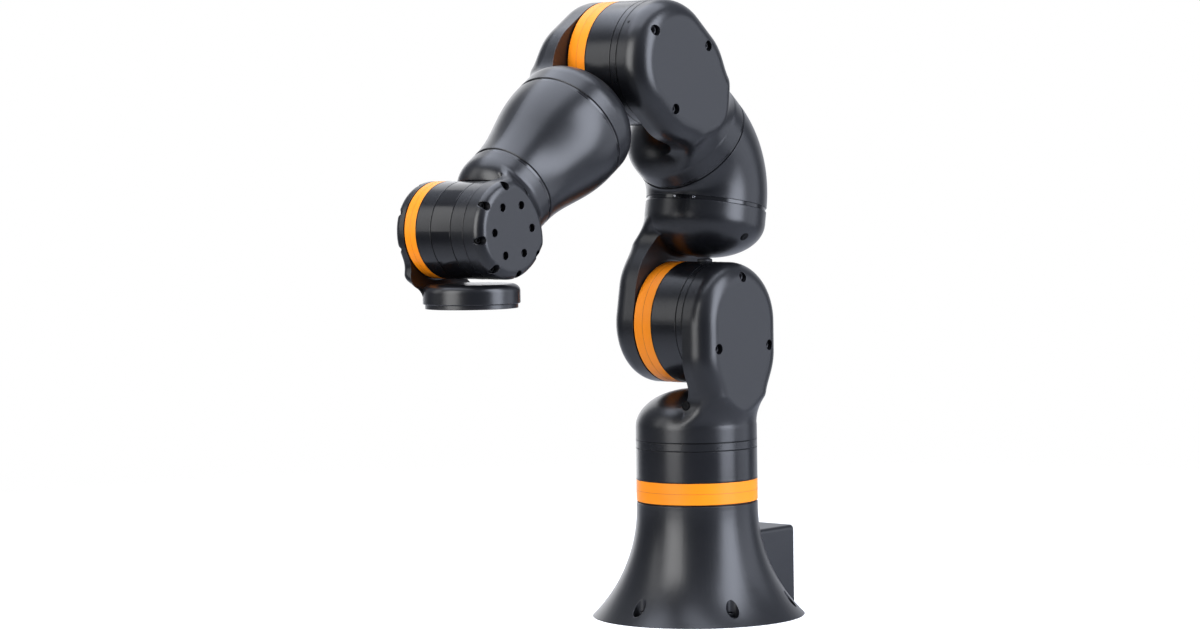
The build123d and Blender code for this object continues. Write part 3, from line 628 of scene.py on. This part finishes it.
for name, (place, back, body) in large_drives.items():
    front = back - LARGE_REAR - LARGE_HOUSING
    for label, station, width in (
            ("back", back, BACK_GAP), ("flange", back - LARGE_REAR, LARGE_GAP),
            ("ring", front, LARGE_GAP)):
        joint_line(f"{name}_{label}_joint", place, LARGE_RADIUS, station, width, body,
                   "gloss_black", finishes["joint_shadow"])
    joint_line(f"{name}_ring_split", place, LARGE_RADIUS, front - LARGE_RING / 2,
               LARGE_SPLIT_GAP, body, "orange_ring", finishes["ring_split"])
WRIST_STATIONS = {"back": 28.2, "flange": 14.3, "can": -7.0, "ring": -23.1}
wrist_axis = Matrix.Translation(wrist) @ axis_y
for name, station in WRIST_STATIONS.items():
    joint_line(f"wrist_{name}_joint", wrist_axis, SMALL_RADIUS, station, WRIST_GAP, "forearm",
               "gloss_black", finishes["joint_shadow"])
joint_line("wrist_ring_split", wrist_axis, SMALL_RADIUS, WRIST_SPLIT, WRIST_SPLIT_GAP,
           "forearm", "orange_ring", finishes["ring_split"])

# %% [markdown]
# A few single fasteners show: two bright set screws in the seam ring below the bend, plugs low
# on two domes, near-black in painted shade so that they read as open holes, and a small plug in
# a rim. Each is placed in its casting's own frame by the direction in which it faces, and stands
# on the surface by a few tenths of a millimetre.

# %% Single screws
def place_single(name, casting, mesh, point, direction, lift, slot, material):
    """One fastener on a casting, lifted off a point of its frame along the way it faces."""
    place, body = castings[casting]
    stand = Vector(point) + Vector(direction).normalized() * lift
    add_piece(name, mesh, place @ facing(stand * MM, direction), body, slot, material)


finish("screw_steel", (0.55, 0.55, 0.57), (0.8, 0.8, 0.82), 0.22, bump=0.02, metallic=1.0,
       edge=0.0002)
SEAM_RADIUS = 51.55
SEAM_STATION = -101.2
SEAM_DROP = 1.5
SEAM_TURNS = (-6.9, -26.4)
set_screw = lathe("set_screw", [
    (1.15, -0.4), (1.15, 0.12), (1.0, 0.22), (0.62, 0.22), (0.5, 0.12, "hex"), (0.5, -0.3, "hex")])
for number, turn in enumerate(SEAM_TURNS, 1):
    across = Vector((math.cos(math.radians(turn)), math.sin(math.radians(turn)), 0))
    point = across * SEAM_RADIUS + Vector((0, 0, SEAM_STATION - SEAM_DROP))
    place_single(f"seam_set_screw_{number}", "upper_arm_lower_elbow", set_screw, point, across,
                 0.0, "socket_metal", finishes["screw_steel"])
dome_plug = lathe("dome_plug", [
    (4.1, -1.6), (4.1, 0.1), (3.8, 0.35), (2.8, 0.6), (1.8, 0.7), (1.6, 0.65, "hex"),
    (1.4, 0.55, "hex")])
rim_plug = lathe("rim_plug", [(1.6, -0.3), (1.6, 0.05), (1.4, 0.15), (0.5, 0.17)])
# name, casting, mesh, point in its frame, direction, lift, finish
PLUGS = (
    ("dome_plug_upper_arm", "upper_arm_lower_elbow", dome_plug, (1.0, -46.0, -75.0),
     (0.0, -0.745, 0.665), 0.5, "painted_hole_shade"),
    ("dome_plug_shoulder", "shoulder_elbow", dome_plug, (40.2, 21.7, -69.1),
     (0.99, 0, 0.11), 0.6, "painted_hole_shade"),
    ("rim_plug_elbow", "upper_arm_upper_elbow", rim_plug, (0.43, 32.7, 52.3),
     (0.0, 0.05, 1.0), 0.1, "joint_shadow"),
)
for name, casting, mesh, point, direction, lift, wear in PLUGS:
    place_single(name, casting, mesh, point, direction, lift, "black_flange", finishes[wear])

# %% [markdown]
# The connector panel on the back carries what such panels carry: a socket screw in each corner,
# an insulating insert with five pins in each signal socket, and three blades in the power inlet.

# %% Connector details
PANEL_FACE = -99.0
PANEL_SCREWS = [(y, z) for y in (-20.5, 20.5) for z in (10.25, 62.25)]
SIGNAL_FLOOR = -88.0
SIGNAL_HEIGHT = 47.0
SIGNAL_SIDES = (("left", 11.0), ("right", -11.0))
PIN_COUNT = 5
PIN_CIRCLE = 3.1
PIN_FOOT = -1.8
POWER_FLOOR = -90.0
POWER_BLADES = ((-5.5, 20.0), (0.0, 24.5), (5.5, 20.0))
outward = (-1, 0, 0)


def blade_mesh(name, wide, thick, long, taper):
    """A flat contact blade with a tapered tip, standing on its foot."""
    shape = bmesh.new()
    loops = []
    for height, part in ((0, 1.0), (long - taper, 1.0), (long, 0.55)):
        loops.append([
            shape.verts.new((x * wide / 2 * part * MM, y * thick / 2 * part * MM, height * MM))
            for x, y in ((-1, -1), (1, -1), (1, 1), (-1, 1))
        ])
    for low, high in zip(loops, loops[1:]):
        for corner in range(4):
            after = (corner + 1) % 4
            shape.faces.new((low[corner], low[after], high[after], high[corner]))
    shape.faces.new(list(reversed(loops[0])))
    shape.faces.new(loops[-1])
    mesh = bpy.data.meshes.new(name)
    shape.to_mesh(mesh)
    shape.free()
    return mesh


panel_screw = cap_screw_mesh("panel_screw", 2.2, 0.8, 1.1)
for number, (y, z) in enumerate(PANEL_SCREWS, 1):
    add_piece(f"panel_screw_{number}", panel_screw,
              facing(Vector((PANEL_FACE, y, z)) * MM, outward), "base", "black_flange",
              finishes["screw_black"])
insert = lathe("signal_insert", [(5.3, -0.2), (5.3, 1.7), (5.0, 2.0), (1.2, 2.0), (1.0, 2.4)])
contact_pin = lathe("contact_pin", [(0.5, 0), (0.5, 4.4), (0.3, 4.9), (0.1, 5.0)], 12)
blade = blade_mesh("power_blade", 4.0, 1.8, 6.5, 1.2)
for side, y in SIGNAL_SIDES:
    floor_point = Vector((SIGNAL_FLOOR, y, SIGNAL_HEIGHT)) * MM
    add_piece(f"signal_insert_{side}", insert, facing(floor_point, outward), "base",
              "connector_black")
    for index in range(PIN_COUNT):
        turn = math.radians(90 + 360 / PIN_COUNT * index)
        across = Vector((
            PIN_FOOT, PIN_CIRCLE * math.cos(turn), PIN_CIRCLE * math.sin(turn))) * MM
        add_piece(f"signal_pin_{side}_{index + 1}", contact_pin,
                  facing(floor_point + across, outward), "base", "socket_metal")
for number, (y, z) in enumerate(POWER_BLADES, 1):
    add_piece(f"power_blade_{number}", blade,
              facing(Vector((POWER_FLOOR, y, z)) * MM, outward), "base", "socket_metal")

# %% [markdown]
# A small rubber stop stands on top of the shoulder drive, in the gap under the dome.

# %% The stop
STOP_STATION = 12.0
STOP_STEPS = 32
stop = lathe("shoulder_stop", [
    (6.5, -0.6), (6.5, 1.6), (6.1, 2.3), (5.2, 2.7), (2.4, 2.8), (1.8, 2.3), (0.6, 2.2)],
    STOP_STEPS)
add_piece("shoulder_stop", stop,
          facing(shoulder + Vector((0, STOP_STATION, LARGE_RADIUS)) * MM, (0, 0, 1)), "shoulder",
          "connector_black")
